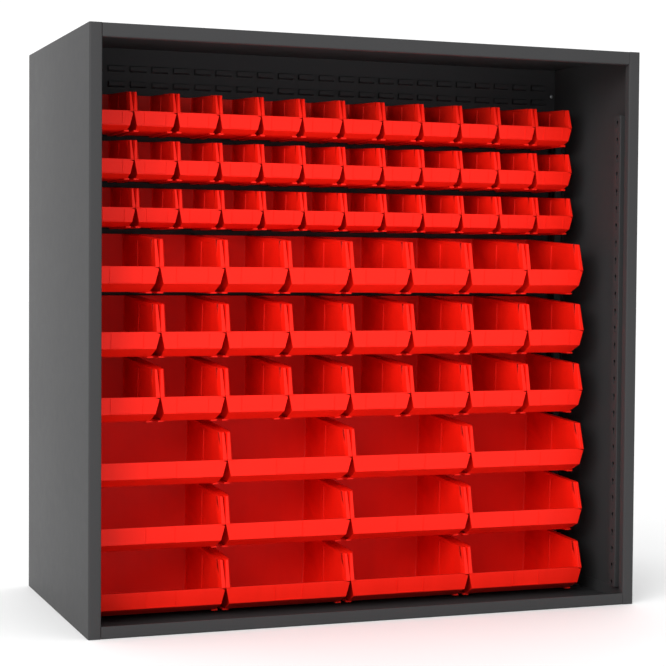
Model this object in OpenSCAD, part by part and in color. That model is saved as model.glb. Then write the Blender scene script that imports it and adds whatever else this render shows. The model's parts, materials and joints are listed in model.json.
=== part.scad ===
// Open-front steel storage cabinet whose louvred inner panel carries nine rows of
// hang-on hopper bins: three rows of small, three of medium and three of wide bins.
// Millimetres, +Z up, front towards -Y, origin at the centre of the footprint.

/* [Cabinet] */
// Overall width
cabinet_w = 1219; // [1200:1:1300]
// Overall depth
cabinet_d = 660; // [600:1:700]
// Overall height
cabinet_h = 1219; // [1210:1:1300]
// Thickness of the cabinet sheet
sheet = 2; // [1.5:0.5:2.5]
// Width of the flange that frames each side of the front opening
jamb_w = 26; // [20:1:32]
// Depth of the return behind each side flange and the top flange
return_d = 18; // [12:1:24]
// Height of the flange over the front opening
head_h = 28; // [20:1:32]
// Height of the lip across the bottom of the opening
lip_h = 25; // [20:1:30]
// Height of the floor pan's upturned side edges
kick_h = 27; // [20:1:30]
// Outer radius of the vertical bends at the front corners
bend_r = 3; // [2:0.5:4]

/* [Louvred panel] */
// Distance from the front of the cabinet to the face of the louvred panel
panel_setback = 415; // [400:1:430]
// Thickness of the louvred panel
panel_t = 1.5; // [1:0.1:2]
// Louvres in one row
louvre_columns = 24; // [20:1:24]
// Sideways spacing of the louvres
louvre_pitch_x = 48.7; // [46:0.1:49]
// Width of one louvre
louvre_w = 36; // [28:1:40]
// Height of one louvre
louvre_h = 14; // [12:1:14]
// How far a louvre stands out of the panel
louvre_out = 6.5; // [6:0.1:6.5]

/* [Shelf uprights] */
// Width of an upright's slotted face
upright_w = 30; // [26:1:34]
// How far the slotted face stands off the side panel
upright_out = 18; // [14:1:18]
// Metal thickness of an upright
upright_t = 1.5; // [1:0.1:2]
// Slots in one upright
slot_count = 28; // [10:1:28]
// Radius of a slot's round top
slot_r = 4.2; // [3:0.1:5]
// Width of the slit below a slot's round top
slot_slit_w = 3.5; // [2:0.1:5]
// Overall height of a slot
slot_h = 15; // [12:1:20]

/* [Bins] */
// Width that each row of bins fills, shared equally by its bins
bin_row_w = 1117.6; // [1100:0.1:1118]
// Gap between neighbouring bins
bin_gap = 0.8; // [0.6:0.1:2]
// Wall thickness of a bin
bin_wall = 2.4; // [2:0.1:2.6]
// Depth of a medium or wide bin, lip to rear wall
large_d = 276; // [240:1:290]
// Height of a medium or wide bin at the rear
large_h = 127; // [120:0.5:127]
// Depth of a small bin, lip to rear wall
small_d = 187; // [150:1:200]
// Height of a small bin at the rear
small_h = 91; // [85:0.5:91]
// Length of the hook's tongue behind the louvre
hook_catch = 6; // [4:0.5:6]

/* [Hidden] */
eps = 0.01;
half_w = cabinet_w / 2;
front_y = -cabinet_d / 2;
back_y = cabinet_d / 2;
panel_y = front_y + panel_setback;
wall_x = half_w - sheet;             // inner face of a side panel
pan_x = wall_x - sheet;              // inner face of the pan's side edge

louvre_pitch_z = 33.75;
louvre_top_z = 1179.6;               // top edge of the highest row of louvres
louvre_rise = 4;                     // height over which a louvre bends out
louvre_bend = 0.7;                   // how far its inner face bends later than its outer face
slot_pitch = 38.1;
slot_low_z = 41;
upright_low_z = 31;
upright_high_z = 1084;
upright_flange = 11;
upright_front_y = front_y + 49.5;
upright_rear_y = panel_y - 41;
rivet_r = 3.5;
rivet_h = 1.2;
rivet_rows = 6;
rivet_margin = 30;                   // from an upright's ends to its nearest rivets
angle_leg = 30;
screw_r = 4.5;                       // heads of the screws along the louvred panel's sides
screw_h = 2;
screw_x = 597;
screw_z = [60, 425, 790, 1155];
rear_flange = 20;
stiffener_leg = 15;
stiffener_rows = [7, 22];            // louvre rows that a stiffener runs just above

rest_gap = 0.3;                      // between a hook and the louvre that carries it
hook_t = 2.2;
hook_reach = 2.6;                    // from the rear wall to the tongue
bin_back_y = panel_y - louvre_out - 0.5;
rim_t = 2.2;
hopper_slope = 0.25;                 // run over rise of a side wall's front edge
under_slope = 2.3;                   // run over rise of the front under the lip
lip_rake = 4;
front_taper = 4;                     // how much nearer the middle the sides' front edges end at the top
base_taper = 2;                      // and the slope under the lip at its foot
rail_h = 3;
rib_w = 3;
rib_out = 1.6;
ridge = 1.2;                         // how far a label ridge stands out of the lip

steel_grey = [0.22, 0.22, 0.23];
panel_grey = [0.17, 0.17, 0.18];
bin_red = [0.85, 0.08, 0.04];

// Each kind of bin: [bins in a row, depth, rear height, front height, lip top, lip bottom,
// overhang of its edges, width of its label area]
small_kind = [12, small_d, small_h, small_h * 0.912, small_h * 0.47, small_h * 0.13, 8.6, 46];
medium_kind = [8, large_d, large_h, large_h * 0.89, large_h * 0.446, large_h * 0.165, 10.6, 68];
wide_kind = [4, large_d, large_h, large_h * 0.89, large_h * 0.446, large_h * 0.165, 10.6, 62];

// Each kind hangs in three rows: [louvre row from the top, sideways shift of the row]
small_rows = [[2, -3], [5, -2], [8, 2]];
medium_rows = [[11, -15], [15, -12], [19, -13]];
wide_rows = [[23, -8], [27, -11], [31, -10]];

ROWS = [1, 2, 3];
// Rows of louvres that carry bins, and the two free rows above them
louvre_rows = concat([0, 1], [for (place = concat(small_rows, medium_rows, wide_rows)) place[0]]);
free_small = 12;                     // the small bin of each row that is a node of its own

function louvre_z(row) = louvre_top_z - row * louvre_pitch_z;
function row_base_z(kind, place) = louvre_z(place[0]) + rest_gap + bin_wall - kind[2];
function bin_pitch(kind) = bin_row_w / kind[0];
function bin_x(kind, place, c) = place[1] + (c - 0.5) * bin_pitch(kind) - bin_row_w / 2;

// A box from its low corner to its high corner
module span(low, high) {
    translate(low) cube(high - low);
}

// An outline in (y, z), extruded along X to a width centred on x = 0
module side_cut(outline, w) {
    rotate([90, 0, 90]) linear_extrude(w, center = true) polygon(outline);
}

// An outline in (x, z), extruded along Y over a depth centred on y = 0
module front_cut(outline, d) {
    rotate([90, 0, 0]) linear_extrude(d, center = true) polygon(outline);
}

// Plain copy on the right (side = 1), mirrored copy on the left (side = -1)
module on_side(side) {
    if (side > 0) children();
    else mirror([1, 0, 0]) children();
}

// ---- Cabinet ----

module side_panel(side) {
    color(steel_grey) on_side(side) {
        linear_extrude(cabinet_h) difference() {
            union() {
                translate([wall_x, front_y]) square([sheet, cabinet_d]);
                translate([half_w - jamb_w, front_y]) square([jamb_w, sheet]);
            }
            translate([half_w - bend_r, front_y]) difference() {
                translate([0, -eps]) square(bend_r + eps);
                translate([0, bend_r]) circle(bend_r, $fn = 48);
            }
        }
        span([half_w - jamb_w, front_y, lip_h],
             [half_w - jamb_w + sheet, front_y + return_d, cabinet_h - head_h]);
        span([half_w - rear_flange, back_y - sheet, sheet],
             [half_w - sheet / 2, back_y, cabinet_h - sheet]);
    }
}

module top_panel() {
    opening_x = half_w - jamb_w;
    color(steel_grey) {
        span([-wall_x, front_y + sheet, cabinet_h - sheet], [wall_x, back_y, cabinet_h]);
        span([-opening_x, front_y, cabinet_h - head_h],
             [opening_x, front_y + sheet, cabinet_h]);
        span([-opening_x, front_y, cabinet_h - head_h],
             [opening_x, front_y + return_d, cabinet_h - head_h + sheet]);
    }
}

module floor_pan() {
    opening_x = half_w - jamb_w;
    color(steel_grey) {
        span([-wall_x, front_y + sheet, 0], [wall_x, back_y, sheet]);
        span([-opening_x, front_y, 0], [opening_x, front_y + sheet, lip_h]);
        for (side = [-1, 1]) on_side(side)
            span([pan_x, front_y + sheet, 0], [wall_x, back_y - 2 * sheet, kick_h]);
    }
}

module back_panel() {
    color(panel_grey)
        span([-wall_x, back_y - 2 * sheet, sheet],
             [wall_x, back_y - sheet, cabinet_h - sheet]);
}

// ---- Louvred panel ----

function louvre_x(c) = (c - (louvre_columns - 1) / 2) * louvre_pitch_x;

module louvre_panel() {
    low_z = sheet;
    tab = [[0, -panel_t], [-louvre_out, louvre_rise], [-louvre_out, louvre_h],
           [panel_t - louvre_out, louvre_h], [panel_t - louvre_out, louvre_rise + louvre_bend],
           [panel_t, 0], [panel_t, -panel_t]];
    color(panel_grey) {
        translate([0, panel_y + panel_t, 0]) rotate([90, 0, 0])
            linear_extrude(panel_t) difference() {
                translate([-pan_x, low_z])
                    square([2 * pan_x, cabinet_h - sheet - low_z]);
                for (row = louvre_rows, c = [0:louvre_columns - 1])
                    translate([louvre_x(c) - louvre_w / 2, louvre_z(row) - louvre_h])
                        square([louvre_w, louvre_h]);
            }
        for (row = louvre_rows, c = [0:louvre_columns - 1])
            translate([louvre_x(c), panel_y, louvre_z(row) - louvre_h])
                side_cut(tab, louvre_w);
    }
}

// Angle that joins the louvred panel to a side panel
module panel_angle(side) {
    back = panel_y + panel_t;
    color(panel_grey) on_side(side) {
        span([pan_x, back, kick_h + 1], [wall_x, back + angle_leg, cabinet_h - sheet]);
        span([wall_x - angle_leg, back, kick_h + 1],
             [wall_x, back + sheet, cabinet_h - sheet]);
    }
}

// Angle along the back of the louvred panel, between two rows of louvres
module panel_stiffener(row) {
    back = panel_y + panel_t;
    end_x = wall_x - angle_leg;
    z = louvre_z(row) + 2;
    color(panel_grey) {
        span([-end_x, back, z], [end_x, back + sheet, z + stiffener_leg]);
        span([-end_x, back, z], [end_x, back + angle_leg, z + sheet]);
    }
}

// Screws that hold the louvred panel to its angles
module panel_screws() {
    color("silver") for (side = [-1, 1], z = screw_z) on_side(side)
        translate([screw_x, panel_y, z]) rotate([90, 0, 0])
            cylinder(screw_h, screw_r, screw_r, $fn = 32);
}

// ---- Shelf uprights ----

// Teardrop slot in (y, z): a round top with a narrow slit below it
module slot_outline() {
    circle(slot_r, $fn = 32);
    translate([-slot_slit_w / 2, slot_r - slot_h]) square([slot_slit_w, slot_h - slot_r]);
}

// Hat-section upright on a side panel, its low edge at y = 0
module upright(side, y) {
    length = upright_high_z - upright_low_z;
    face_x = wall_x - upright_out;
    color(steel_grey) on_side(side) translate([0, y, upright_low_z]) difference() {
        linear_extrude(length) {
            translate([face_x, 0]) square([upright_t, upright_w]);
            for (leg_y = [0, upright_w - upright_t])
                translate([face_x, leg_y]) square([upright_out, upright_t]);
            translate([wall_x - upright_t, -upright_flange])
                square([upright_t, upright_flange + upright_t]);
            translate([wall_x - upright_t, upright_w - upright_t])
                square([upright_t, upright_flange + upright_t]);
        }
        for (i = [0:slot_count - 1])
            translate([face_x - 1, upright_w / 2, slot_low_z - upright_low_z + i * slot_pitch])
                rotate([90, 0, 90]) linear_extrude(upright_t + 2) slot_outline();
    }
}

module upright_rivets() {
    step = (upright_high_z - upright_low_z - 2 * rivet_margin) / (rivet_rows - 1);
    color("silver")
        for (side = [-1, 1], y = [upright_front_y, upright_rear_y], i = [0:rivet_rows - 1],
             edge = [-upright_flange / 2, upright_w + upright_flange / 2])
            on_side(side)
                translate([wall_x - upright_t, y + edge, upright_low_z + rivet_margin + i * step])
                    rotate([0, -90, 0]) cylinder(rivet_h, rivet_r, rivet_r, $fn = 24);
}

// ---- Bins ----

// One hopper bin, rear wall's back face at y = 0, front towards -y, rails on z = 0
module hopper_bin(kind) {
    d = kind[1];
    h = kind[2];
    front_h = kind[3];
    lip_top = kind[4];
    lip_low = kind[5];
    edge = kind[6];
    half = bin_pitch(kind) / 2 - bin_gap / 2;
    outer = half - edge;             // outer face of a side wall
    inner = outer - bin_wall;
    lip_half = half - 0.8 * edge;    // half width of the lip's lower edge
    top_run = hopper_slope * (front_h - lip_top);
    base_run = lip_rake + under_slope * (lip_low - rail_h);
    slope_t = bin_wall * sqrt(1 + pow(under_slope, 2));
    floor_z = rail_h + bin_wall;

    walls = [[0, rail_h], [0, h], [top_run - d, front_h], [-d, lip_top],
             [lip_rake - d, lip_low], [base_run - d, rail_h]];
    space = [[-bin_wall, floor_z], [-bin_wall, h + 1], [-d - 1, h + 1], [-d - 1, lip_top],
             [bin_wall - d, lip_top],
             [lip_rake + bin_wall - d, lip_low + (slope_t - bin_wall) / under_slope],
             [base_run + slope_t - bin_wall * under_slope - d, floor_z]];
    rim = [[0, h], [top_run - d, front_h], [top_run - d, front_h - rim_t], [0, h - rim_t]];
    flange = [[top_run - d, front_h], [-d, lip_top],
              [bin_wall - d, lip_top], [top_run + bin_wall - d, front_h]];
    lip = [[-d, lip_top], [lip_rake - d, lip_low],
           [lip_rake + bin_wall - d, lip_low], [bin_wall - d, lip_top]];
    flange_face = [[-half, lip_top], [half, lip_top],
                   [half - front_taper, front_h], [front_taper - half, front_h]];
    lip_face = [[-half, lip_top], [half, lip_top], [lip_half, lip_low], [-lip_half, lip_low]];
    under_face = [[-lip_half, lip_low], [lip_half, lip_low],
                  [lip_half - base_taper, rail_h], [base_taper - lip_half, rail_h]];
    underside = [[lip_rake - d, lip_low], [base_run - d, rail_h],
                 [base_run + slope_t - d, rail_h], [lip_rake + slope_t - d, lip_low]];
    hook = [[-bin_wall, h], [hook_reach + hook_t, h],
            [hook_reach + hook_t, h - bin_wall - rest_gap - hook_catch],
            [hook_reach, h - bin_wall - rest_gap - hook_catch],
            [hook_reach, h - bin_wall], [-bin_wall, h - bin_wall]];

    difference() {
        union() {
            side_cut(walls, 2 * outer);
            side_cut(rim, 2 * (half - front_taper));
            for (part = [[flange, flange_face], [lip, lip_face], [underside, under_face]])
                intersection() {
                    side_cut(part[0], 2 * half);
                    front_cut(part[1], 2 * d + 2);
                }
            side_cut(hook, 2 * inner);
            for (side = [-1, 1]) on_side(side)
                span([inner - edge / 2, base_run - d, 0], [outer + edge / 2, 0, rail_h + 1]);
        }
        side_cut(space, 2 * inner);
    }
    divider_ribs(kind, inner, floor_z);
    label_ridges(kind);
}

// Upright rib on each side wall, half way along the bin
module divider_ribs(kind, inner, floor_z) {
    for (side = [-1, 1]) on_side(side)
        span([inner - rib_out, -(kind[1] + rib_w) / 2, floor_z - 1],
             [inner + 1, -(kind[1] - rib_w) / 2, kind[3] - rim_t]);
}

// Two upright ridges and a ledge that hold a card on the lip
module label_ridges(kind) {
    d = kind[1];
    low = kind[5];
    high = kind[4];
    rake = lip_rake / (high - low);
    ridge_low = low + ridge;
    ridge_high = high - 3;
    side_ridge = [[-d - ridge + rake * (high - ridge_low), ridge_low],
                  [-d - ridge + rake * (high - ridge_high), ridge_high],
                  [-d + 1 + rake * (high - ridge_high), ridge_high],
                  [-d + 1 + rake * (high - ridge_low), ridge_low]];
    ledge_high = ridge_low + ridge;
    ledge = [[-d - ridge + rake * (high - ridge_low), ridge_low],
             [-d - ridge + rake * (high - ledge_high), ledge_high],
             [-d + 1 + rake * (high - ledge_high), ledge_high],
             [-d + 1 + rake * (high - ridge_low), ridge_low]];
    for (side = [-1, 1]) translate([side * kind[7] / 2, 0, 0]) side_cut(side_ridge, ridge);
    side_cut(ledge, kind[7]);
}

// The bin at column c of a row
module hung_bin(kind, place, c) {
    translate([bin_x(kind, place, c), bin_back_y, row_base_z(kind, place)])
        hopper_bin(kind);
}

module small_bins_row(r) {
    color(bin_red)
        for (c = [1:small_kind[0]]) if (c != free_small)
            hung_bin(small_kind, small_rows[r - 1], c);
}

module small_bin(r, c) {
    color(bin_red) hung_bin(small_kind, small_rows[r - 1], c);
}

module medium_bin(r, c) {
    color(bin_red) hung_bin(medium_kind, medium_rows[r - 1], c);
}

module wide_bin(r, c) {
    color(bin_red) hung_bin(wide_kind, wide_rows[r - 1], c);
}

side_panel(-1);  // side_panel_left
side_panel(1);  // side_panel_right
top_panel();
floor_pan();
back_panel();
louvre_panel();
panel_angle(-1);  // panel_angle_left
panel_angle(1);  // panel_angle_right
panel_stiffener(stiffener_rows[0]);  // panel_stiffener_upper
panel_stiffener(stiffener_rows[1]);  // panel_stiffener_lower
panel_screws();
upright(-1, upright_front_y);  // upright_front_left
upright(1, upright_front_y);  // upright_front_right
upright(-1, upright_rear_y);  // upright_rear_left
upright(1, upright_rear_y);  // upright_rear_right
upright_rivets();
for (r = ROWS) small_bins_row(r);
for (r = ROWS, c = [free_small])
    small_bin(r, c);
for (r = ROWS, c = [1:medium_kind[0]])
    medium_bin(r, c);
for (r = ROWS, c = [1:wide_kind[0]])
    wide_bin(r, c);
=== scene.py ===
"""Finished surfaces of an open-front steel cabinet with hang-on hopper bins.

Folded, powder-coated sheet, a louvred inner panel, slotted shelf uprights and moulded bins
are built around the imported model, in metres, +Z up, with the open front towards -Y.
"""

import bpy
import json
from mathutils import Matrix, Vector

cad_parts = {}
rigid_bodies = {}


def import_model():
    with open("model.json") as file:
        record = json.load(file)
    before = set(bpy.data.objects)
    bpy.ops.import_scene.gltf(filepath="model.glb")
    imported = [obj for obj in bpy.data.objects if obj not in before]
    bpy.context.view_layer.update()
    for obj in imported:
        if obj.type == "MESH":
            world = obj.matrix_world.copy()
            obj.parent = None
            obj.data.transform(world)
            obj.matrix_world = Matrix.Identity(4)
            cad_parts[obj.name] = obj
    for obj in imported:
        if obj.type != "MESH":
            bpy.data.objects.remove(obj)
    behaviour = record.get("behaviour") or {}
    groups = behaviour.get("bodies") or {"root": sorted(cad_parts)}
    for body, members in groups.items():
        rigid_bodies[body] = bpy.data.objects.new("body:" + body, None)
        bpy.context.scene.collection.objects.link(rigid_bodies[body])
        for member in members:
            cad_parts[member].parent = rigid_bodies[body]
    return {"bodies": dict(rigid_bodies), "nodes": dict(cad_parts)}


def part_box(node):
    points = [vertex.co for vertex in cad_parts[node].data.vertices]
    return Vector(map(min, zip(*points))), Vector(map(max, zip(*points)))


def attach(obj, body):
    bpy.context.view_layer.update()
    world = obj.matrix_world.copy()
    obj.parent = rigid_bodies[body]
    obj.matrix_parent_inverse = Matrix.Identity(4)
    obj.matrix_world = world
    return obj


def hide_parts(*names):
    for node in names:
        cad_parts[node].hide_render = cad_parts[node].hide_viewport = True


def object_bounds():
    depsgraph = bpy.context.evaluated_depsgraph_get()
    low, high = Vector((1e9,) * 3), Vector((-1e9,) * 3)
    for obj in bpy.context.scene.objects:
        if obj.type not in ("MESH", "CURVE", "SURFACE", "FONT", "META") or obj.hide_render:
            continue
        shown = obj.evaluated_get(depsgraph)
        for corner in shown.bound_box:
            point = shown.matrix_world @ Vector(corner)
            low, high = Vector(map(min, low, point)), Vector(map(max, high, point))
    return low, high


bl_info = {
    "name": "Hanging bin cabinet",
    "version": (1, 0, 0),
    "blender": (4, 5, 0),
    "location": "3D View > Sidebar > Bin cabinet",
    "description": "Builds the finished surfaces of a bin cabinet around its packed model",
    "category": "Object",
}

import json
import math
from contextlib import contextmanager

import bmesh
import bpy
from bpy.props import (FloatProperty, FloatVectorProperty, IntProperty, PointerProperty)
from mathutils import Matrix, Vector

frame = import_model()
CAD_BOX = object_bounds()

MM = 0.001
CABINET = "cabinet"                      # the body of everything that doesn't lift
SIDES = {"left": -1, "right": 1}
SHARP = math.radians(30)                 # edges that turn more than this are rounded
FLAT = math.radians(0.5)                 # faces that turn less than this are one face
MERGE = 1e-5                             # points closer than this are one point
STRAIGHT = 1e-6                          # smaller turns in a section are no fold

HOOK_DEPTH = 4.8 * MM                    # from a bin's rear wall to the back of its hook
HOOK_THICKNESS = 2.2 * MM
HOOK_CATCH = 6.3 * MM                    # length of the hook's tongue
RAIL = 3 * MM                            # height of the rails under a bin
RAKE = 4 * MM                            # how far a bin's lip leans back
RIDGE = 1.2 * MM                         # width of the ridges that hold a card
STEP = 0.3 * MM                          # keeps faces that are joined out of one plane

FLOOR_HALF = 30.0                        # half the width of the studio floor
FLOOR_GAP = 0.2 * MM
LIGHT_SIZE = (4.0, 2.4)
LIGHT_AT = Vector((-4.2, -4.4, 2.7))
LIGHT_AIM = Vector((0, 0, 0.5))


# ---- Values a user would change ----

def length(name, description, default, **more):
    return FloatProperty(name=name, description=description, default=default, min=0.0,
                         unit="LENGTH", precision=5, **more)


def colour(name, description, default):
    return FloatVectorProperty(name=name, description=description, default=default,
                               subtype="COLOR", size=3, min=0.0, max=1.0)


def angle(name, description, degrees):
    return FloatProperty(name=name, description=description, default=math.radians(degrees),
                         subtype="ANGLE")


class FinishSettings(bpy.types.PropertyGroup):
    steel: colour("Cabinet steel", "Powder coat of the cabinet", (0.038, 0.038, 0.039))
    panel: colour("Inner panel", "Powder coat of the louvred panel", (0.036, 0.036, 0.038))
    zinc: colour("Rivets and screws", "Zinc-plated heads", (0.42, 0.43, 0.45))
    plastic: colour("Bins", "Moulded plastic of the bins", (0.92, 0.012, 0.004))
    peel: length("Peel size", "Size of the powder coat's orange peel", 1.8 * MM)
    peel_depth: length("Peel depth", "Height of the powder coat's orange peel", 0.05 * MM)


class SheetSettings(bpy.types.PropertyGroup):
    thickness: length("Sheet", "Thickness of the cabinet sheet", 2 * MM)
    bend: length("Bend radius", "Middle radius of a fold", 2.4 * MM)
    edge: length("Edge radius", "Rounding of a cut edge", 0.4 * MM)
    returned: length("Return", "Depth behind the front flanges", 18 * MM)
    head: length("Head", "Height of the flange over the opening", 28 * MM)
    lip: length("Lip", "Height of the lip under the opening", 25 * MM)
    rear_flange: length("Rear flange", "Width of the flange behind the sides", 20 * MM)


class LouvreSettings(bpy.types.PropertyGroup):
    columns: IntProperty(name="Columns", description="Louvres in a row", default=24, min=1)
    rows: IntProperty(name="Rows", description="Rows of louvres", default=35, min=1)
    pitch_x: length("Sideways pitch", "From louvre to louvre in a row", 48.7 * MM)
    pitch_z: length("Row pitch", "From row to row", 33.75 * MM)
    top: length("Top row", "Height of the top row's upper edge", 1179.6 * MM)
    width: length("Width", "Width of a louvre", 36 * MM)
    height: length("Height", "Height of a louvre", 14 * MM)
    rise: length("Rise", "Height over which a louvre bends out", 4 * MM)
    slit: length("Slit", "Left open above a louvre's upper edge", 1.6 * MM)
    thickness: length("Sheet", "Thickness of the louvred sheet", 1.5 * MM)


class UprightSettings(bpy.types.PropertyGroup):
    thickness: length("Metal", "Thickness of an upright", 1.5 * MM)
    flange: length("Flange", "Width of an upright's side flange", 11 * MM)
    slots: IntProperty(name="Slots", description="Slots in an upright", default=28, min=1)
    slot_pitch: length("Slot pitch", "From slot to slot", 38.1 * MM)
    slot_low: length("First slot", "Height of the lowest slot's round top", 41 * MM)
    slot_r: length("Slot radius", "Radius of a slot's round top", 4.2 * MM)
    slit: length("Slit", "Width of the slit below the round top", 3.5 * MM)
    slot_h: length("Slot height", "Height of a whole slot", 15 * MM)


class BinSettings(bpy.types.PropertyGroup):
    wall: length("Wall", "Wall thickness", 2.4 * MM)
    corner: length("Corner", "Inner radius of the corners", 5 * MM)
    edge: length("Edge radius", "Rounding of the moulded edges", 0.6 * MM)
    draft: length("Draft", "How much narrower each side is at its foot", 3 * MM)
    rim: length("Rim", "Thickness of the rim", 2.2 * MM)
    taper: length("Taper", "How much nearer the middle the front flanges end", 3.2 * MM)
    chamfer: length("Chamfer", "Depth of the flanges' outer front corner", 12 * MM)
    flare: FloatProperty(name="Flare", description="Share of the edge that leads in",
                         default=0.38, min=0.0, max=0.8)
    flare_depth: length("Flare depth", "How far back the lead-in starts", 13 * MM)
    narrowing: length("Narrowing", "How much narrower each side of the slope ends", 2 * MM)
    under: FloatProperty(name="Under slope", description="Run over rise under the lip",
                         default=2.3, min=0.1)


class StageSettings(bpy.types.PropertyGroup):
    camera_at: FloatVectorProperty(name="Camera", description="Place of the camera",
                                   default=(-1.3708, -3.9382, 0.7501), size=3,
                                   subtype="XYZ", unit="LENGTH")
    turn: angle("Turn", "Camera's turn to the right", 21.604)
    tilt: angle("Tilt", "Camera's tilt upwards", -2.211)
    roll: angle("Roll", "Camera's roll", -0.496)
    lens: FloatProperty(name="Lens", description="Focal length in millimetres", default=99.98)
    shift: FloatVectorProperty(name="Shift", description="Camera shift",
                               default=(-0.1072, 0.0036), size=2)
    sky: FloatProperty(name="Surround", description="Strength of the white surround",
                       default=1.1, min=0.0)
    key: FloatProperty(name="Key light", description="Power of the soft front light",
                       default=230.0, min=0.0, subtype="POWER")


SETTINGS = {
    "bin_cabinet_finish": FinishSettings,
    "bin_cabinet_sheet": SheetSettings,
    "bin_cabinet_louvres": LouvreSettings,
    "bin_cabinet_uprights": UprightSettings,
    "bin_cabinet_bins": BinSettings,
    "bin_cabinet_stage": StageSettings,
}


def setting(group):
    return getattr(bpy.context.scene, "bin_cabinet_" + group)


# ---- Node trees ----

class Wire:
    """One socket's value. Arithmetic on it adds Math nodes to its tree."""

    def __init__(self, tree, socket):
        self.tree = tree
        self.socket = socket

    def _maths(self, operation, first, second):
        return self.tree.add("ShaderNodeMath", {"operation": operation}, {0: first, 1: second})

    def __add__(self, other):
        return self._maths("ADD", self, other)

    def __sub__(self, other):
        return self._maths("SUBTRACT", self, other)

    def __mul__(self, other):
        return self._maths("MULTIPLY", self, other)

    def __radd__(self, other):
        return self._maths("ADD", other, self)

    def __rsub__(self, other):
        return self._maths("SUBTRACT", other, self)

    def __rmul__(self, other):
        return self._maths("MULTIPLY", other, self)


class NodeTree:
    """A node tree, shader or geometry, that nodes are added to by type, settings and inputs."""

    def __init__(self, tree):
        self.tree = tree

    def add(self, kind, settings=None, inputs=None, output=0):
        node = self.tree.nodes.new(kind)
        for key, value in (settings or {}).items():
            setattr(node, key, value)
        for key, value in (inputs or {}).items():
            for one in value if isinstance(value, list) else [value]:
                if isinstance(one, Wire):
                    self.tree.links.new(one.socket, node.inputs[key])
                else:
                    node.inputs[key].default_value = one
        return Wire(self, node.outputs[output]) if len(node.outputs) else node


class Finish(NodeTree):
    """A material around one Principled shader, with patterns on Object coordinates."""

    def __init__(self, name, **fixed):
        self.material = bpy.data.materials.new("finish_" + name)
        self.material.use_nodes = True
        super().__init__(self.material.node_tree)
        self.shader = self.tree.nodes["Principled BSDF"]
        for socket, value in fixed.items():
            self.shader.inputs[socket.replace("_", " ")].default_value = value
        self.place = self.add("ShaderNodeTexCoord", output="Object")

    def noise(self, size, detail=2.0, stretch=None):
        """Noise from 0 to 1 with patches about the given size in metres."""
        place = self.place
        if stretch:
            place = self.add("ShaderNodeMapping", inputs={"Vector": place, "Scale": stretch})
        return self.add("ShaderNodeTexNoise", inputs={
            "Vector": place, "Scale": 1 / size, "Detail": detail, "Roughness": 0.5})

    def shades(self, factor, shade, dark, light):
        """A colour from dark to light times the shade, by a factor from 0 to 1."""
        ends = {socket: (*(min(1.0, part * times) for part in shade), 1)
                for socket, times in ((6, dark), (7, light))}
        return self.add("ShaderNodeMix", {"data_type": "RGBA"}, {"Factor": factor, **ends},
                        output=2)

    def feed(self, **links):
        for socket, wire in links.items():
            self.tree.links.new(wire.socket, self.shader.inputs[socket.replace("_", " ")])
        return self.material

    def bumped(self, height, depth):
        return self.add("ShaderNodeBump", inputs={
            "Height": height, "Distance": depth, "Strength": 1.0}, output="Normal")


def powder_coat(name, shade):
    """Satin powder coat: orange peel, a fine grain, and slight unevenness of tone and gloss."""
    s = setting("finish")
    finish = Finish(name, Specular_IOR_Level=0.12)
    patches = finish.noise(0.35, detail=3)
    cloud = finish.noise(0.02)
    peel = finish.noise(s.peel, detail=1)
    grain = finish.noise(s.peel / 4, detail=1)
    return finish.feed(
        Base_Color=finish.shades(patches * 0.7 + grain * 0.3, shade, 0.9, 1.12),
        Roughness=0.42 + patches * 0.08 + cloud * 0.06,
        Normal=finish.bumped(peel * 0.75 + grain * 0.25, s.peel_depth))


def bin_plastic():
    """Semi-gloss moulded plastic: faint flow marks, a fine mould grain and uneven gloss."""
    shade = setting("finish").plastic
    finish = Finish("bin_plastic", Specular_IOR_Level=0.16)
    flow = finish.noise(0.05, detail=3, stretch=(1.0, 1.0, 0.25))
    grain = finish.noise(0.9 * MM, detail=1)
    scuff = finish.noise(0.012, detail=4)
    return finish.feed(
        Base_Color=finish.shades(flow, shade, 0.9, 1.1),
        Roughness=0.38 + flow * 0.07 + scuff * 0.1,
        Normal=finish.bumped(grain * 0.5 + flow * 0.5, 0.03 * MM))


def zinc_plate():
    """Bright zinc with a soft spangle."""
    shade = setting("finish").zinc
    finish = Finish("rivet_steel", Metallic=0.9)
    spangle = finish.noise(1.5 * MM, detail=2)
    return finish.feed(
        Base_Color=finish.shades(spangle, shade, 0.85, 1.15),
        Roughness=0.32 + spangle * 0.12,
        Normal=finish.bumped(spangle, 0.01 * MM))


def floor_finish():
    finish = Finish("studio_floor", Specular_IOR_Level=0.2)
    cloud = finish.noise(0.6, detail=2)
    return finish.feed(Base_Color=finish.shades(cloud, (1, 1, 1), 0.94, 0.97),
                       Roughness=0.6 + cloud * 0.1)


MATERIALS = {
    "cabinet_paint": lambda: powder_coat("cabinet_paint", setting("finish").steel),
    "panel_paint": lambda: powder_coat("panel_paint", setting("finish").panel),
    "rivet_steel": zinc_plate,
    "bin_plastic": bin_plastic,
    "studio_floor": floor_finish,
}
FINISHES = {}


def material(name):
    """The finish of that name, made the first time it is asked for."""
    if name not in FINISHES:
        FINISHES[name] = MATERIALS[name]()
    return FINISHES[name]


# ---- Meshes ----

def placed_object(name, form, finish):
    """An object from a bmesh, at the origin."""
    mesh = bpy.data.meshes.new(name)
    form.to_mesh(mesh)
    form.free()
    mesh.materials.append(material(finish))
    obj = bpy.data.objects.new(name, mesh)
    bpy.context.scene.collection.objects.link(obj)
    return obj


def mesh_object(name, form, finish):
    """An object from a bmesh, with its faces turned outwards."""
    bmesh.ops.remove_doubles(form, verts=form.verts, dist=MERGE)
    bmesh.ops.recalc_face_normals(form, faces=form.faces)
    return placed_object(name, form, finish)


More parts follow.
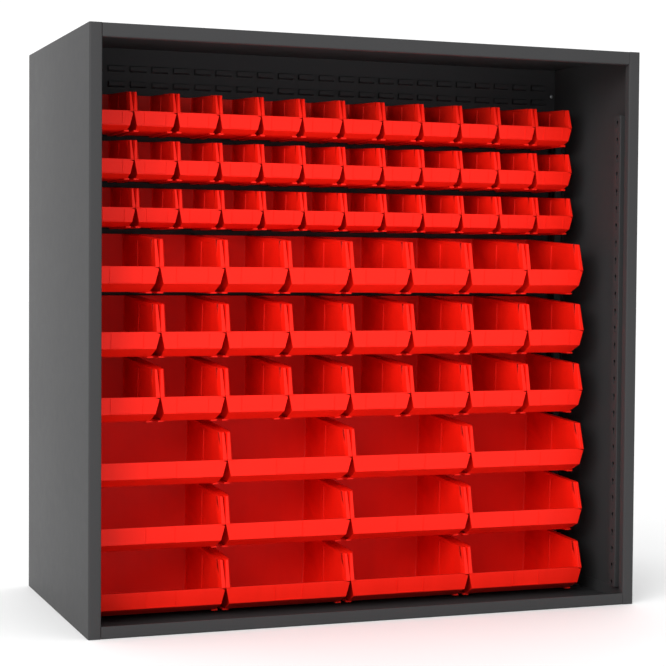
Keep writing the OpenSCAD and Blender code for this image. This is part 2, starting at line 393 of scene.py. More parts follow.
@contextmanager
def edited(obj):
    """The object's mesh as a bmesh, written back afterwards."""
    form = bmesh.new()
    form.from_mesh(obj.data)
    yield form
    form.to_mesh(obj.data)
    form.free()


def box_around(points):
    """The low and high corners of the box around some vertices."""
    return tuple(Vector([pick(p.co[i] for p in points) for i in range(3)])
                 for pick in (min, max))


def settle(obj):
    """Turns an object's modifiers into its plain mesh."""
    graph = bpy.context.evaluated_depsgraph_get()
    mesh = bpy.data.meshes.new_from_object(obj.evaluated_get(graph), depsgraph=graph)
    obj.modifiers.clear()
    obj.data = mesh
    if not mesh.materials:
        raise RuntimeError(f"{obj.name} lost its material")
    if not mesh.polygons:
        raise RuntimeError(f"{obj.name} came out empty")
    return obj


def round_edges(obj, radius, segments=2):
    """Rounds the sharp edges, with flat faces kept flat in the shading, inside the same box."""
    low, high = box_around(obj.data.vertices)
    obj.data.polygons.foreach_set("use_smooth", [True] * len(obj.data.polygons))
    bevel = obj.modifiers.new("edges", "BEVEL")
    bevel.width = radius
    bevel.segments = segments
    bevel.limit_method = "ANGLE"
    bevel.angle_limit = SHARP
    bevel.use_clamp_overlap = False
    bevel.harden_normals = True
    settle(obj)
    for point in obj.data.vertices:
        point.co = [min(max(x, a), b) for x, a, b in zip(point.co, low, high)]
    return obj


def combine(obj, others, operation):
    """Joins or cuts obj with the others, which are used up."""
    for other in others:
        cut = obj.modifiers.new(operation.lower(), "BOOLEAN")
        cut.operation = operation
        cut.solver = "MANIFOLD"
        cut.object = other
    settle(obj)
    for other in others:
        discard(other)
    return obj


def discard(obj):
    mesh = obj.data
    bpy.data.objects.remove(obj)
    bpy.data.meshes.remove(mesh)


def tidy_faces(obj):
    """Merges flat neighbouring faces that a cut has left apart."""
    with edited(obj) as form:
        bmesh.ops.remove_doubles(form, verts=form.verts, dist=MERGE)
        bmesh.ops.dissolve_limit(form, angle_limit=FLAT, verts=form.verts, edges=form.edges)


def joined(obj, others):
    """Adds the others' faces to obj's mesh as shells of their own."""
    with edited(obj) as form:
        for other in others:
            form.from_mesh(other.data)
    for other in others:
        discard(other)
    return obj


def fix(obj, body, slot, *nodes):
    """The finished piece moves with its body and stands for its CAD nodes."""
    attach(obj, body)
    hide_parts(*nodes)


def islands(node):
    """Boxes of the separate solids of a CAD node, as (low, high) corners, in order of place."""
    form = bmesh.new()
    form.from_mesh(frame["nodes"][node].data)
    bmesh.ops.remove_doubles(form, verts=form.verts, dist=MERGE)
    left, boxes = set(form.verts), []
    while left:
        found, waiting = set(), [left.pop()]
        while waiting:
            point = waiting.pop()
            found.add(point)
            for edge in point.link_edges:
                other = edge.other_vert(point)
                if other in left:
                    left.remove(other)
                    waiting.append(other)
        boxes.append(box_around(found))
    form.free()
    return sorted(boxes, key=lambda box: tuple(round(x, 4) for x in box[0]))


def box_solid(name, low, high, finish):
    form = bmesh.new()
    bmesh.ops.create_cube(form, size=1.0)
    for point in form.verts:
        point.co = Vector([low[i] if point.co[i] < 0 else high[i] for i in range(3)])
    return mesh_object(name, form, finish)


def chain(name, *sections, finish="bin_plastic"):
    """A closed solid through sections of as many corners each, one after the other."""
    form = bmesh.new()
    rings = [[form.verts.new(corner) for corner in section] for section in sections]
    for a, b in zip(rings, rings[1:]):
        for k in range(len(a)):
            n = (k + 1) % len(a)
            form.faces.new((a[k], a[n], b[n], b[k]))
    form.faces.new(rings[0])
    form.faces.new(rings[-1])
    return mesh_object(name, form, finish)


# ---- Folded sheet ----

def folded(points, radius, segments=5):
    """Middle line of a folded sheet: [(point, normal)], with an arc at each fold."""
    points = [Vector(p) for p in points]
    line = []
    for i, point in enumerate(points):
        before = (point - points[i - 1]).normalized() if i else None
        after = (points[i + 1] - point).normalized() if i < len(points) - 1 else None
        if before is None or after is None or abs(before.angle_signed(after)) < STRAIGHT:
            way = after or before
            line.append((point, Vector((-way.y, way.x))))
            continue
        turn = -before.angle_signed(after)       # anticlockwise is positive
        reach = radius * math.tan(abs(turn) / 2)
        normal = Vector((-before.y, before.x)) * (1 if turn > 0 else -1)
        centre = point - before * reach + normal * radius
        for k in range(segments + 1):
            spoke = Matrix.Rotation(turn * k / segments, 2) @ (-normal)
            line.append((centre + spoke * radius, spoke * (-1 if turn > 0 else 1)))
    return line


def folded_sheet(name, points, levels, place, thickness, finish, radius, keep=None):
    """A folded sheet of even thickness, as one closed shell.

    points are its section's middle line, levels where it is divided along its length, and
    place turns (a, b, level) into a point. keep(a, b, low, high) says which parts stay.
    """
    line = folded(points, radius)
    form = bmesh.new()
    grid = [[[form.verts.new(place(*(point + normal * side * thickness / 2), level))
              for side in (-1, 1)] for level in levels] for point, normal in line]

    def kept(i, j):
        if not (0 <= i < len(line) - 1 and 0 <= j < len(levels) - 1):
            return False
        middle = (line[i][0] + line[i + 1][0]) / 2
        return keep is None or keep(*middle, (levels[j] + levels[j + 1]) / 2)

    for i in range(len(line) - 1):
        for j in range(len(levels) - 1):
            if not kept(i, j):
                continue
            a, b, c, d = grid[i][j], grid[i + 1][j], grid[i + 1][j + 1], grid[i][j + 1]
            for side in (0, 1):
                form.faces.new((a[side], b[side], c[side], d[side]))
            for (di, dj), (p, q) in {(0, -1): (a, b), (1, 0): (b, c),
                                     (0, 1): (c, d), (-1, 0): (d, a)}.items():
                if not kept(i + di, j + dj):
                    form.faces.new((p[0], q[0], q[1], p[1]))
    loose = [point for point in form.verts if not point.link_faces]
    bmesh.ops.delete(form, geom=loose, context="VERTS")
    return mesh_object(name, form, finish)


def side_panel(side):
    s = setting("sheet")
    node = "side_panel_" + side
    low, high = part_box(node)
    out = max(abs(low.x), abs(high.x))
    width = high.x - low.x
    t = s.thickness / 2
    points = [(out - s.rear_flange, high.y - t), (out - t, high.y - t), (out - t, low.y + t),
              (out - width + t, low.y + t), (out - width + t, low.y + s.returned)]
    levels = [low.z, low.z + s.thickness, s.lip, high.z - s.head, high.z - s.thickness, high.z]

    def keep(x, y, z):
        if y > high.y - s.bend and x < out - s.bend:
            return levels[1] < z < levels[4]
        if x < out - width + s.bend and y > low.y + s.bend:
            return levels[2] < z < levels[3]
        return True

    obj = folded_sheet(node + "_sheet", points, levels,
                       lambda x, y, z: (SIDES[side] * x, y, z),
                       s.thickness, "cabinet_paint", s.bend, keep)
    fix(round_edges(obj, s.edge), CABINET, "cabinet_paint", node)


def head_or_pan(node, front_edge, flip):
    """The top panel, if flip, or the floor pan: a sheet folded along its front."""
    s = setting("sheet")
    low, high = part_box(node)
    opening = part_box("side_panel_right")[0].x
    t = s.thickness / 2
    front, rear = low.y, high.y
    face = high.z if flip else low.z
    inwards = -1 if flip else 1
    flange = [(front + t, face + inwards * t), (rear, face + inwards * t)]
    start = [(front + t, face + inwards * front_edge)]
    if flip:
        start = [(front + s.returned, face - front_edge + t), (front + t, face - front_edge + t)]
    levels = [low.x, -opening, opening, high.x]

    def keep(y, z, x):
        return abs(x) < opening - MM or (y > front + s.bend + t
                                         and abs(z - face) < s.thickness)

    return folded_sheet(node + "_sheet", start + flange, levels, lambda y, z, x: (x, y, z),
                        s.thickness, "cabinet_paint", s.bend, keep)


def top_panel():
    s = setting("sheet")
    obj = head_or_pan("top_panel", s.head, True)
    fix(round_edges(obj, s.edge), CABINET, "cabinet_paint", "top_panel")


def floor_pan():
    s = setting("sheet")
    low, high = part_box("floor_pan")
    obj = head_or_pan("floor_pan", s.lip, False)
    edges = [box_solid("pan_edge", (x, low.y + s.thickness, low.z + s.thickness),
                       (x + s.thickness, high.y - 2 * s.thickness, high.z), "cabinet_paint")
             for x in (low.x, high.x - s.thickness)]
    obj = round_edges(joined(obj, edges), s.edge)
    fix(obj, CABINET, "cabinet_paint", "floor_pan")


def back_panel():
    low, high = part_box("back_panel")
    obj = box_solid("back_panel_sheet", low, high, "panel_paint")
    fix(round_edges(obj, setting("sheet").edge), CABINET, "panel_paint", "back_panel")


def angle_piece(node, points, levels, place):
    s = setting("sheet")
    obj = folded_sheet(node + "_angle", points, levels, place, s.thickness, "panel_paint",
                       s.bend)
    fix(round_edges(obj, s.edge), CABINET, "panel_paint", node)


def panel_frame():
    """The two angles at the louvred panel's sides and the two stiffeners behind it."""
    t = setting("sheet").thickness / 2
    for side, sign in SIDES.items():
        low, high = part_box("panel_angle_" + side)
        out, inner = max(abs(low.x), abs(high.x)), min(abs(low.x), abs(high.x))
        angle_piece("panel_angle_" + side,
                    [(out - t, high.y), (out - t, low.y + t), (inner, low.y + t)],
                    [low.z, high.z], lambda x, y, z, sign=sign: (sign * x, y, z))
    for level in ("upper", "lower"):
        low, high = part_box("panel_stiffener_" + level)
        angle_piece("panel_stiffener_" + level,
                    [(low.y + t, high.z), (low.y + t, low.z + t), (high.y, low.z + t)],
                    [low.x, high.x], lambda y, z, x: (x, y, z))


# ---- Repeated shapes ----

class Repeat(NodeTree):
    """A geometry tree with named inputs, run once on an object and then made plain."""

    def __init__(self, name, inputs):
        super().__init__(bpy.data.node_groups.new(name, "GeometryNodeTree"))
        face = self.tree.interface
        face.new_socket("Geometry", in_out="INPUT", socket_type="NodeSocketGeometry")
        self.names = {key: face.new_socket(key, in_out="INPUT", socket_type=kind).identifier
                      for key, kind in inputs.items()}
        face.new_socket("Geometry", in_out="OUTPUT", socket_type="NodeSocketGeometry")
        self.group = self.tree.nodes.new("NodeGroupInput")
        self.given = Wire(self, self.group.outputs[0])

    def value(self, name):
        return Wire(self, self.group.outputs[name])

    def instances(self, points, what, rotation=None):
        shape = self.add("GeometryNodeObjectInfo", inputs={"Object": self.value(what)},
                         output="Geometry")
        inputs = {"Points": points, "Instance": shape}
        if rotation:
            inputs["Rotation"] = rotation
        placed = self.add("GeometryNodeInstanceOnPoints", inputs=inputs)
        return self.add("GeometryNodeRealizeInstances", inputs={"Geometry": placed})

    def finish(self, geometry):
        done = self.add("GeometryNodeSetMaterial",
                        inputs={"Geometry": geometry, "Material": self.value("Material")})
        self.add("NodeGroupOutput", inputs={0: done})

    def run(self, obj, **values):
        modifier = obj.modifiers.new(self.tree.name, "NODES")
        modifier.node_group = self.tree
        for key, value in values.items():
            modifier[self.names[key.replace("_", " ")]] = value
        return settle(obj)


def points_object(name, places, finish, facing=None):
    form = bmesh.new()
    for place in places:
        form.verts.new(place)
    obj = placed_object(name, form, finish)
    if facing:
        layer = obj.data.attributes.new("facing", "FLOAT_VECTOR", "POINT")
        layer.data.foreach_set("vector", [x for way in facing for x in way])
    return obj


def louvre_cell(out, thickness):
    """One cell of the panel: the sheet around a window, and the louvre lanced out of it.

    The cell's middle is at x = 0, the window's upper edge at z = 0, the sheet's face at y = 0.
    """
    s = setting("louvres")
    form = bmesh.new()
    spare = (s.pitch_z - s.height) / 2
    outer = [(-s.pitch_x / 2, -s.height - spare), (s.pitch_x / 2, -s.height - spare),
             (s.pitch_x / 2, spare), (-s.pitch_x / 2, spare)]
    window = [(-s.width / 2, -s.height), (s.width / 2, -s.height), (s.width / 2, 0),
              (-s.width / 2, 0)]

    def ring(corners, y):
        return [form.verts.new((x, y, z)) for x, z in corners]

    front, front_in = ring(outer, 0), ring(window, 0)
    back, back_in = ring(outer, thickness), ring(window, thickness)
    for k in range(4):
        n = (k + 1) % 4
        form.faces.new((front[k], front[n], front_in[n], front_in[k]))
        form.faces.new((back[n], back[k], back_in[k], back_in[n]))
        form.faces.new((front_in[k], front_in[n], back_in[n], back_in[k]))
    steps = 5
    middle = [(thickness / 2 - out * (1 - math.cos(math.pi * k / steps)) / 2,
               -s.height + s.rise * k / steps) for k in range(steps + 1)]
    middle.append((middle[-1][0], -s.slit))
    strip = []
    for k, (y, z) in enumerate(middle):
        y0, z0 = middle[max(k - 1, 0)]
        y1, z1 = middle[min(k + 1, len(middle) - 1)]
        way = Vector((y1 - y0, z1 - z0)).normalized()
        across = Vector((-way.y, way.x)) * thickness / 2
        strip.append([[form.verts.new((x, y + side * across.x,
                                       max(z + side * across.y, -s.height)))
                       for side in (-1, 1)] for x in (-s.width / 2, s.width / 2)])
    for a, b in zip(strip, strip[1:]):
        form.faces.new((a[0][0], a[1][0], b[1][0], b[0][0]))
        form.faces.new((a[1][1], a[0][1], b[0][1], b[1][1]))
        for end in (0, 1):
            form.faces.new((a[end][0], b[end][0], b[end][1], a[end][1]))
    for a in (strip[0], strip[-1]):
        form.faces.new((a[0][0], a[1][0], a[1][1], a[0][1]))
    return mesh_object("louvre_cell", form, "panel_paint")


def louvre_panel():
    s = setting("louvres")
    low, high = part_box("louvre_panel")
    thickness = s.thickness
    face = high.y - thickness
    cell = louvre_cell(face - low.y, thickness)
    tree = Repeat("louvres", {
        "Louvre": "NodeSocketObject", "Columns": "NodeSocketInt", "Rows": "NodeSocketInt",
        "Width": "NodeSocketFloat", "Height": "NodeSocketFloat",
        "Middle": "NodeSocketVector", "Material": "NodeSocketMaterial"})
    grid = tree.add("GeometryNodeMeshGrid", inputs={
        "Size X": tree.value("Width"), "Size Y": tree.value("Height"),
        "Vertices X": tree.value("Columns"), "Vertices Y": tree.value("Rows")})
    upright = tree.add("GeometryNodeTransform", inputs={
        "Geometry": grid, "Rotation": (math.pi / 2, 0, 0),
        "Translation": tree.value("Middle")})
    cells = tree.instances(upright, "Louvre")
    both = tree.add("GeometryNodeJoinGeometry", inputs={"Geometry": [cells, tree.given]})
    tree.finish(tree.add("GeometryNodeMergeByDistance",
                         inputs={"Geometry": both, "Distance": MERGE}))

    spare = (s.pitch_z - s.height) / 2
    half = s.columns * s.pitch_x / 2
    top = s.top + spare
    foot = top - s.rows * s.pitch_z
    columns = [low.x, *((k - s.columns / 2) * s.pitch_x for k in range(s.columns + 1)), high.x]
    rows = [low.z, *(foot + k * s.pitch_z for k in range(s.rows + 1)), high.z]
    border = folded_sheet("louvre_panel_sheet", [(x, face + thickness / 2) for x in columns],
                          rows, lambda x, y, z: (x, y, z), thickness, "panel_paint",
                          s.rise, keep=lambda x, y, z: abs(x) > half or not foot < z < top)
    with edited(border) as form:
        inner = [f for f in form.faces if abs(f.normal.y) < 0.5 and all(
            abs(p.co.x) < half + MERGE and foot - MERGE < p.co.z < top + MERGE
            for p in f.verts)]
        bmesh.ops.delete(form, geom=inner, context="FACES")
    middle = (0, face, s.top - (s.rows - 1) * s.pitch_z / 2)
    tree.run(border, Louvre=cell, Columns=s.columns, Rows=s.rows,
             Width=(s.columns - 1) * s.pitch_x, Height=(s.rows - 1) * s.pitch_z,
             Middle=middle, Material=material("panel_paint"))
    discard(cell)
    fix(border, CABINET, "panel_paint", "louvre_panel")


def slot_cutter(depth):
    """A teardrop: a round top with a slit below, along X, its round centre at the origin."""
    s = setting("uprights")
    start = math.asin(s.slit / 2 / s.slot_r) - math.pi / 2
    turns = 20
    outline = [(s.slit / 2, s.slot_r - s.slot_h)]
    outline += [(s.slot_r * math.cos(a), s.slot_r * math.sin(a)) for a in
                [start + (math.pi - 2 * start) * k / turns for k in range(turns + 1)]]
    outline.append((-s.slit / 2, s.slot_r - s.slot_h))
    return chain("slot_cutter", *([(x, y, z) for y, z in outline] for x in (-depth, depth)),
                 finish="cabinet_paint")


def uprights():
    s = setting("uprights")
    cutter = slot_cutter(3 * s.thickness)
    tree = Repeat("slots", {
        "Slot": "NodeSocketObject", "Slots": "NodeSocketInt", "Pitch": "NodeSocketVector",
        "First": "NodeSocketVector", "Material": "NodeSocketMaterial"})
    line = tree.add("GeometryNodeMeshLine", inputs={
        "Count": tree.value("Slots"), "Start Location": tree.value("First"),
        "Offset": tree.value("Pitch")})
    slots = tree.instances(line, "Slot")
    tree.finish(tree.add("GeometryNodeMeshBoolean", {"operation": "DIFFERENCE"},
                         {"Mesh 1": tree.given, "Mesh 2": slots}))
    t = s.thickness / 2
    for end in ("front", "rear"):
        for side, sign in SIDES.items():
            node = f"upright_{end}_{side}"
            low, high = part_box(node)
            wall, face = max(abs(low.x), abs(high.x)), min(abs(low.x), abs(high.x))
            near, far = low.y + s.flange, high.y - s.flange
            points = [(wall - t, low.y), (wall - t, near + t), (face + t, near + t),
                      (face + t, far - t), (wall - t, far - t), (wall - t, high.y)]
            obj = folded_sheet(node + "_hat", points, [low.z, high.z],
                               lambda x, y, z, sign=sign: (sign * x, y, z),
                               s.thickness, "cabinet_paint", s.thickness)
            round_edges(obj, setting("sheet").edge / 2)
            tree.run(obj, Slot=cutter, Slots=s.slots, Pitch=(0, 0, s.slot_pitch),
                     First=(sign * (face + t), (near + far) / 2, s.slot_low),
                     Material=material("cabinet_paint"))
            fix(obj, CABINET, "cabinet_paint", node)
    discard(cutter)


def domed_head(name, radius, height, socket=0.0):
    """A round head on z = 0, its dome up, with a hexagon socket if it has one."""
    sides = 18
    dome = [(radius, 0.0), (radius, 0.25 * height), (0.93 * radius, 0.55 * height),
            (0.74 * radius, 0.83 * height), (0.5 * radius, height)]

    def ring(r, z, hexagon=False):
        found = []
        for k in range(sides):
            a = 2 * math.pi * k / sides
            span = r
            if hexagon:
                off = (a % (math.pi / 3)) - math.pi / 6
                span = r * math.cos(math.pi / 6) / math.cos(off)
            found.append((span * math.cos(a), span * math.sin(a), z))
        return found

    rings = [ring(r, z) for r, z in dome]
    if socket:
        rings += [ring(socket, height, True), ring(socket, 0.35 * height, True)]
    obj = chain(name, *rings, finish="rivet_steel")
    obj.data.polygons.foreach_set("use_smooth", [len(f.vertices) == 4
                                                 for f in obj.data.polygons])
    obj.data.set_sharp_from_angle(angle=SHARP)
    return obj


def fasteners():
    """Rivets along the uprights and screws along the louvred panel."""
    tree = Repeat("heads", {"Head": "NodeSocketObject", "Material": "NodeSocketMaterial"})
    facing = tree.add("GeometryNodeInputNamedAttribute", {"data_type": "FLOAT_VECTOR"},
                      {"Name": "facing"})
    turned = tree.add("FunctionNodeAlignRotationToVector", {"axis": "Z"}, {"Vector": facing})
    tree.finish(tree.instances(tree.given, "Head", turned))
    for node, axis, socket in (("upright_rivets", 0, 0.0), ("panel_screws", 1, 0.45)):
        boxes = islands(node)
        size = boxes[0][1] - boxes[0][0]
        radius, height = size.z / 2, size[axis]
        places, ways = [], []
        for low, high in boxes:
            foot = (low + high) / 2
            way = Vector((0, 0, 0))
            way[axis] = -1 if axis == 1 or foot.x > 0 else 1
            foot[axis] = high[axis] if way[axis] < 0 else low[axis]
            places.append(foot)
            ways.append(way)
        head = domed_head(node + "_head", radius, height, socket * radius)
        obj = points_object(node + "_heads", places, "rivet_steel", ways)
        tree.run(obj, Head=head, Material=material("rivet_steel"))
        discard(head)
        fix(obj, CABINET, "rivet_steel", node)


# ---- Bins ----

class Kind:
    """Sizes of one kind of bin, from the box of its CAD solid.

    front, lip_top and lip_low are shares of its height, edge and label are in millimetres.
    """

    def __init__(self, node, front, lip_top, lip_low, edge, label):
        s = setting("bins")
        low, high = islands(node)[0]
        self.half = (high.x - low.x) / 2
        self.height = high.z - low.z
        self.depth = high.y - low.y - HOOK_DEPTH
        self.front = self.height * front
        self.lip_top = self.height * lip_top
        self.lip_low = self.height * lip_low
        self.edge = edge * MM
        self.label = label * MM
        self.outer = self.half - self.edge
        self.inner = self.outer - s.wall
        self.lip_half = self.half - 0.8 * self.edge
        self.top_half = self.half - s.taper
        self.top_run = 0.25 * (self.front - self.lip_top)
        self.base_run = RAKE + s.under * (self.lip_low - RAIL)
        self.under_t = s.wall * math.sqrt(1 + s.under ** 2)


def loft(name, outline, half_at):
    """A closed solid from a (y, z) outline, as wide each side as half_at(z) says."""
    return chain(name, *([(sign * half_at(z), y, z) for y, z in outline]
                         for sign in (-1, 1)))


def bevel_where(obj, chosen, radius, segments):
    """Rounds the edges whose two ends pass the test."""
    with edited(obj) as form:
        edges = [e for e in form.edges if chosen(e.verts[0].co, e.verts[1].co)]
        bmesh.ops.bevel(form, geom=edges, offset=radius, segments=segments, profile=0.5,
                        affect="EDGES", clamp_overlap=True)
    return obj


def draft(kind, half):
    """Half width by height: even above the lip, and narrower towards the foot below it."""
    narrow = setting("bins").draft
    return lambda z: half - narrow * max(0.0, (kind.lip_top - z) / kind.lip_top)


def front_at(kind, z):
    """The y of a bin's raked front edge at a height above the lip."""
    return -kind.depth + kind.top_run * (z - kind.lip_top) / (kind.front - kind.lip_top)


def bin_walls(kind):
    """The outside of the walls and floor, a little behind the plates of the front."""
    s = setting("bins")
    k, d, back = kind, kind.depth, s.wall / 2
    tub = loft("bin_walls", [
        (0, RAIL), (0, k.lip_top), (0, k.height), (k.top_run + back - d, k.front),
        (back - d, k.lip_top), (RAKE + back - d, k.lip_low + back),
        (k.base_run + back - d, RAIL)], draft(k, k.outer))
    return bevel_where(tub, lambda a, b: abs(a.y) < MERGE and abs(b.y) < MERGE
                       and a.x * b.x > 0, s.corner, 3)


def bin_space(kind):
    """The inside, with rounded corners, and the lead-in behind each front flange."""
    s = setting("bins")
    k, d, wall, over = kind, kind.depth, s.wall, 2 * MM
    floor = RAIL + wall
    space = loft("bin_space", [
        (-wall, floor), (-wall, k.lip_top), (-wall, k.height + over),
        (-d - over, k.height + over), (-d - over, k.lip_top), (wall - d, k.lip_top),
        (RAKE + wall - d, k.lip_low + (k.under_t - wall) / s.under),
        (k.base_run + k.under_t - wall * s.under - d, floor)], draft(k, k.inner))

    def rounded(a, b):
        inside = all(p.y > wall - d - MERGE and p.z < k.height for p in (a, b))
        rear = all(abs(p.y + wall) < MERGE for p in (a, b)) and a.x * b.x > 0
        level = abs(a.z - k.lip_top) < MERGE and abs(b.z - k.lip_top) < MERGE
        return rear or (inside and not level)

    bevel_where(space, rounded, s.corner, 4)
    out = s.flare * (k.edge + wall)
    leads = []
    for sign in (-1, 1):
        leads.append(chain("bin_lead_in", *(
            [(sign * x, front_at(k, z) + back, z) for x, back in (
                (k.inner - MM, -over), (k.inner + out * (1 + over / s.flare_depth), -over),
                (k.inner, s.flare_depth), (k.inner - MM, s.flare_depth))]
            for z in (k.lip_top, k.front + over))))
    return [space, *leads]


def bin_front(kind):
    """The rims, the chamfered front flanges, and the lip with the slope below it."""
    s = setting("bins")
    k, d, wall = kind, kind.depth, s.wall
    front = front_at(k, k.front)
    turn = front + s.chamfer
    turned = k.front + (k.height - k.front) * s.chamfer / -front
    outer, low = k.half - STEP, k.lip_top - wall
    parts = []
    for sign in (-1, 1):
        parts.append(chain("bin_rim", *(
            [(sign * x, y, z) for x, z in ((k.inner, top), (half, top), (half, top - s.rim),
                                           (k.inner, top - s.rim))]
            for y, top, half in ((0, k.height, outer), (turn, turned, outer),
                                 (front + STEP, k.front, k.top_half - STEP)))))
        parts.append(chain(
            "bin_flange",
            [(sign * k.inner, -d, low), (sign * k.half, -d, low),
             (sign * k.half, wall - d, low), (sign * k.inner, s.flare_depth + wall - d, low)],
            [(sign * k.inner, front, k.front), (sign * k.top_half, front, k.front),
             (sign * outer, turn, turned), (sign * k.inner, turn + 2 * wall, turned)]))
    foot = k.lip_half - s.narrowing
    parts.append(chain("bin_lip", *(
        [(-half, front, z), (half, front, z), (half, rear, z), (-half, rear, z)]
        for half, front, rear, z in (
            (k.half, -d, wall - d, k.lip_top),
            (k.lip_half, RAKE - d, RAKE + k.under_t - d, k.lip_low),
            (foot, k.base_run - d, k.base_run + k.under_t - d, RAIL)))))
    return parts


def bin_extras(kind):
    """The rails under the floor, the hook behind the rear wall and the divider ribs."""
    s = setting("bins")
    k, d, h, wall = kind, kind.depth, kind.height, s.wall
    rib, rib_out, rib_foot = 3 * MM, 1.6 * MM, RAIL + wall - MM
    sunk = draft(k, k.inner)(rib_foot) - k.inner
    parts = []
    for sign in (-1, 1):
        low, high = sorted((sign * (k.inner - k.edge / 2), sign * (k.outer + k.edge / 2)))
        parts.append(box_solid("bin_rail", (low, k.base_run - d, 0), (high, 0, RAIL + MM),
                               "bin_plastic"))
        parts.append(chain("bin_rib", *(
            [(sign * (k.inner + x + lean), y, z)
             for x, lean, z in ((-rib_out, sunk, rib_foot), (MM, sunk, rib_foot),
                                (MM, 0, k.front - s.rim), (-rib_out, 0, k.front - s.rim))]
            for y in (-(d + rib) / 2, -(d - rib) / 2))))
    reach = HOOK_DEPTH - HOOK_THICKNESS
    tongue = h - wall - HOOK_CATCH
    parts.append(loft("bin_hook", [
        (-wall, h), (HOOK_DEPTH, h), (HOOK_DEPTH, tongue), (reach, tongue), (reach, h - wall),
        (-wall, h - wall)], lambda z: k.inner))
    return parts


def label_ridges(kind):
    """Two upright ridges and a ledge that hold a card on the lip."""
    k = kind
    lean = RAKE / (k.lip_top - k.lip_low)
    low, high = k.lip_low + RIDGE, k.lip_top - 3 * MM

    def on_lip(z, out):
        return lean * (k.lip_top - z) - k.depth - out

    def bar(name, x0, x1, z0, z1):
        return chain(name, *([(x, on_lip(z, out), z) for z, out in (
            (z0, 0.8 * RIDGE), (z1, 0.8 * RIDGE), (z1, -0.5 * MM), (z0, -0.5 * MM))]
            for x in (x0, x1)))

    half = k.label / 2
    parts = [bar("ridge", x - RIDGE / 2, x + RIDGE / 2, low, high) for x in (-half, half)]
    parts.append(bar("ledge", -half, half, low, low + RIDGE))
    for part in parts:
        round_edges(part, 0.25 * MM, 1)
    return parts


def moulded_bin(name, kind):
    """One whole bin, its rear wall's back at y = 0 and its rails on z = 0."""
    tub = bin_walls(kind)
    combine(tub, bin_front(kind), "UNION")
    combine(tub, bin_space(kind), "DIFFERENCE")
    combine(tub, bin_extras(kind), "UNION")
    tidy_faces(tub)
    round_edges(tub, setting("bins").edge)
    joined(tub, label_ridges(kind))
    tub.name = name
    return tub


KINDS = {                                # the node each kind is measured on, and its sizes
    "small": ("small_bin_1_12", 0.912, 0.47, 0.13, 8.6, 46),
    "medium": ("medium_bin_1_1", 0.89, 0.446, 0.165, 10.6, 68),
    "wide": ("wide_bin_1_1", 0.89, 0.446, 0.165, 10.6, 62),
}


def place_of(box):
    """Where a bin's own origin is, from the box of its CAD solid."""
    low, high = box
    return Vector(((low.x + high.x) / 2, high.y - HOOK_DEPTH, low.z))


def hang_bins(which):
    """Every bin of one kind: the free ones one by one, the fixed ones a row at a time."""
    kind = Kind(*KINDS[which])
    pattern = moulded_bin(which + "_bin_pattern", kind)
    tree = Repeat(which + "_bins", {"Bin": "NodeSocketObject",
                                    "Material": "NodeSocketMaterial"})
    tree.finish(tree.instances(tree.given, "Bin"))
    for node in sorted(frame["nodes"]):
        if not node.startswith(which + "_bin"):
            continue
        body = node if node in frame["bodies"] else CABINET
        places = [place_of(box) for box in islands(node)]
        obj = points_object(node + "_moulding", places, "bin_plastic")
        tree.run(obj, Bin=pattern, Material=material("bin_plastic"))
        fix(obj, body, "bin_plastic", node)
    discard(pattern)


# ---- Stage ----

def studio():
    s = setting("stage")
    scene = bpy.context.scene
    scene.view_settings.view_transform = "Standard"
    world = bpy.data.worlds.new("studio_surround")
    world.use_nodes = True
    world.node_tree.nodes["Background"].inputs["Color"].default_value = (1, 1, 1, 1)
    world.node_tree.nodes["Background"].inputs["Strength"].default_value = s.sky
    scene.world = world

    form = bmesh.new()
    bmesh.ops.create_grid(form, x_segments=8, y_segments=8, size=FLOOR_HALF)
    for point in form.verts:
        point.co.z = CAD_BOX[0][2] - FLOOR_GAP
    floor = mesh_object("studio_floor", form, "studio_floor")

    data = bpy.data.lights.new("soft_key", "AREA")
    data.shape = "RECTANGLE"
    data.size, data.size_y = LIGHT_SIZE
    data.energy = s.key
    light = bpy.data.objects.new("soft_key", data)
    light.location = LIGHT_AT
    light.rotation_euler = (LIGHT_AIM - LIGHT_AT).to_track_quat("-Z", "Y").to_euler()
    scene.collection.objects.link(light)

    camera = bpy.data.cameras.new("camera")
    camera.lens = s.lens
    camera.shift_x, camera.shift_y = s.shift
    eye = bpy.data.objects.new("camera", camera)
    ahead = Vector((math.sin(s.turn) * math.cos(s.tilt), math.cos(s.turn) * math.cos(s.tilt),
                    math.sin(s.tilt)))
    right = Vector((math.cos(s.turn), -math.sin(s.turn), 0))
    down = ahead.cross(right)
    turned_right = right * math.cos(s.roll) + down * math.sin(s.roll)
    turned_down = down * math.cos(s.roll) - right * math.sin(s.roll)
    axes = Matrix((turned_right, -turned_down, -ahead)).transposed()
    eye.matrix_world = Matrix.Translation(s.camera_at) @ axes.to_4x4()
    scene.collection.objects.link(eye)
    scene.camera = eye


# ---- Operators ----

class BINCABINET_OT_sides(bpy.types.Operator):
    """Fold the two side panels, the top panel, the floor pan and the back panel"""
    bl_idname = "bin_cabinet.sides"
    bl_label = "Cabinet sheets"

    def execute(self, context):
        for side in SIDES:
            side_panel(side)
        top_panel()
        floor_pan()
        back_panel()
        return {"FINISHED"}


class BINCABINET_OT_louvre_panel(bpy.types.Operator):
    """Lance the louvres in the inner panel"""
    bl_idname = "bin_cabinet.louvre_panel"
    bl_label = "Louvred panel"

    def execute(self, context):
        louvre_panel()
        return {"FINISHED"}


class BINCABINET_OT_panel_frame(bpy.types.Operator):
    """Fold the angles and stiffeners behind the louvred panel"""
    bl_idname = "bin_cabinet.panel_frame"
    bl_label = "Panel frame"

    def execute(self, context):
        panel_frame()
        return {"FINISHED"}


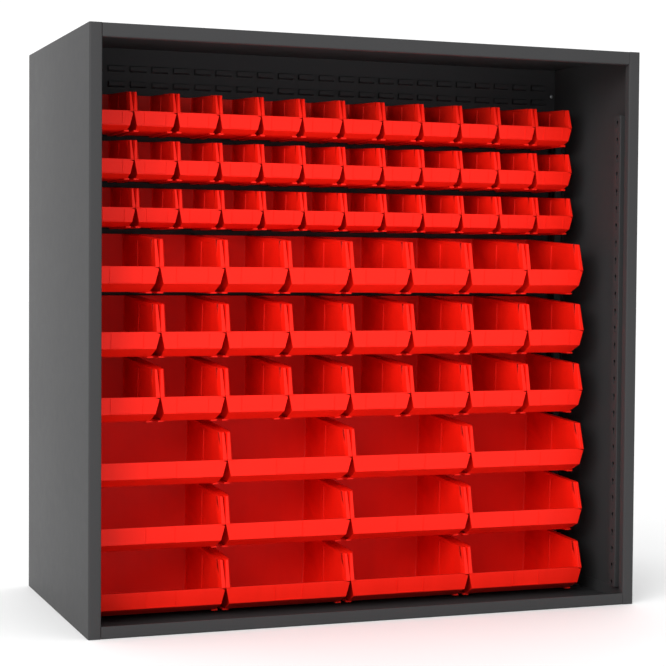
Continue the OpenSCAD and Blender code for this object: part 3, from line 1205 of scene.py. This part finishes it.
class BINCABINET_OT_uprights(bpy.types.Operator):
    """Fold the shelf uprights and punch their slots"""
    bl_idname = "bin_cabinet.uprights"
    bl_label = "Shelf uprights"

    def execute(self, context):
        uprights()
        return {"FINISHED"}


class BINCABINET_OT_fasteners(bpy.types.Operator):
    """Set the rivets of the uprights and the screws of the louvred panel"""
    bl_idname = "bin_cabinet.fasteners"
    bl_label = "Rivets and screws"

    def execute(self, context):
        fasteners()
        return {"FINISHED"}


class BINCABINET_OT_small_bins(bpy.types.Operator):
    """Mould and hang the small bins"""
    bl_idname = "bin_cabinet.small_bins"
    bl_label = "Small bins"

    def execute(self, context):
        hang_bins("small")
        return {"FINISHED"}


class BINCABINET_OT_medium_bins(bpy.types.Operator):
    """Mould and hang the medium bins"""
    bl_idname = "bin_cabinet.medium_bins"
    bl_label = "Medium bins"

    def execute(self, context):
        hang_bins("medium")
        return {"FINISHED"}


class BINCABINET_OT_wide_bins(bpy.types.Operator):
    """Mould and hang the wide bins"""
    bl_idname = "bin_cabinet.wide_bins"
    bl_label = "Wide bins"

    def execute(self, context):
        hang_bins("wide")
        return {"FINISHED"}


class BINCABINET_OT_stage(bpy.types.Operator):
    """Set the floor, the light and the camera"""
    bl_idname = "bin_cabinet.stage"
    bl_label = "Stage"

    def execute(self, context):
        studio()
        return {"FINISHED"}


OPERATORS = (
    BINCABINET_OT_sides,
    BINCABINET_OT_louvre_panel,
    BINCABINET_OT_panel_frame,
    BINCABINET_OT_uprights,
    BINCABINET_OT_fasteners,
    BINCABINET_OT_small_bins,
    BINCABINET_OT_medium_bins,
    BINCABINET_OT_wide_bins,
    BINCABINET_OT_stage,
)


class BINCABINET_PT_sidebar(bpy.types.Panel):
    """Lists the cabinet's pieces"""
    bl_label = "Bin cabinet"
    bl_idname = "BINCABINET_PT_sidebar"
    bl_space_type = "VIEW_3D"
    bl_region_type = "UI"
    bl_category = "Bin cabinet"

    def draw(self, context):
        for operator in OPERATORS:
            self.layout.operator(operator.bl_idname)
        for name, group in SETTINGS.items():
            box = self.layout.box()
            values = getattr(context.scene, name)
            for key in group.__annotations__:
                box.prop(values, key)


CLASSES = (*SETTINGS.values(), *OPERATORS, BINCABINET_PT_sidebar)


def register():
    for one in CLASSES:
        bpy.utils.register_class(one)
    for name, group in SETTINGS.items():
        setattr(bpy.types.Scene, name, PointerProperty(type=group))


def unregister():
    for name in SETTINGS:
        delattr(bpy.types.Scene, name)
    for one in reversed(CLASSES):
        bpy.utils.unregister_class(one)


def main():
    register()
    for operator in OPERATORS:
        group, name = operator.bl_idname.split(".")
        getattr(getattr(bpy.ops, group), name)()


if __name__ == "__main__":
    main()
